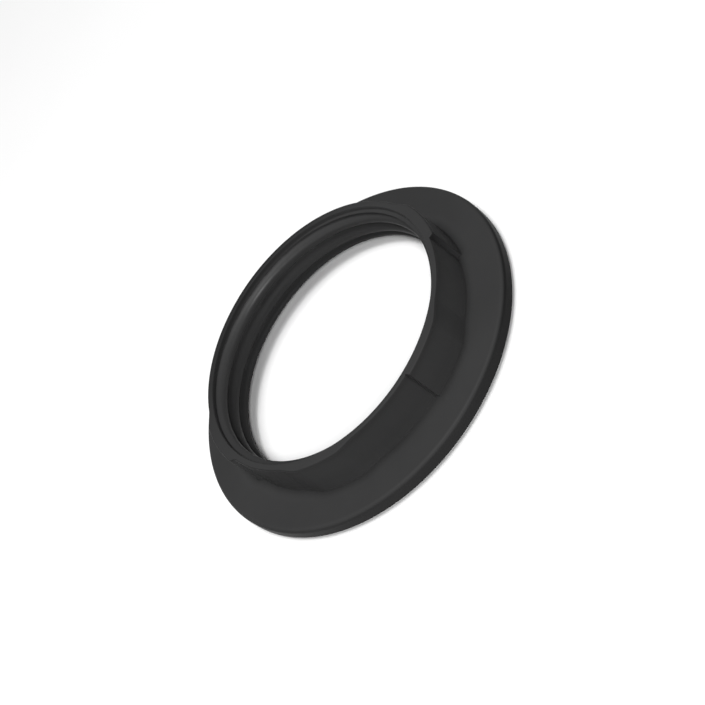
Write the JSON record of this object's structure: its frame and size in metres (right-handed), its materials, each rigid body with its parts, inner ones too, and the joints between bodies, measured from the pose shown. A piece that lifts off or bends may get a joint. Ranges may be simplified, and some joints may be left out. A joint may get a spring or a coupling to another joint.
{
  "type": "threaded flange ring",
  "caption": "Low black plastic ring with a wide flange, a short collar with a coarse internal thread, and a seal in a channel in its back.",
  "frame": {"origin": "on the axis, at the gasket's lower face, which is the lowest point", "axes": "+Z along the thread's axis from the seal towards the collar's rim; -Y towards the middle of the gap between the second and third of the four raised pads on the collar"},
  "size_m": [0.055, 0.055, 0.0089],
  "materials": {
    "moulded_plastic": "satin moulded black",
    "slip_plastic": "smooth natural",
    "gasket_rubber": "matt with talc bloom"
  },
  "bodies": {
    "ring": {"flange_ring": "moulded_plastic"},
    "seal": {"friction_ring": "slip_plastic", "sealing_gasket": "gasket_rubber"}
  },
  "joints": [
    {"name": "seal_swivel", "type": "hinge", "parent": "ring", "child": "seal", "pos_m": [0, 0, 0.0015], "axis": [0, 0, 1], "continuous": true}
  ]
}
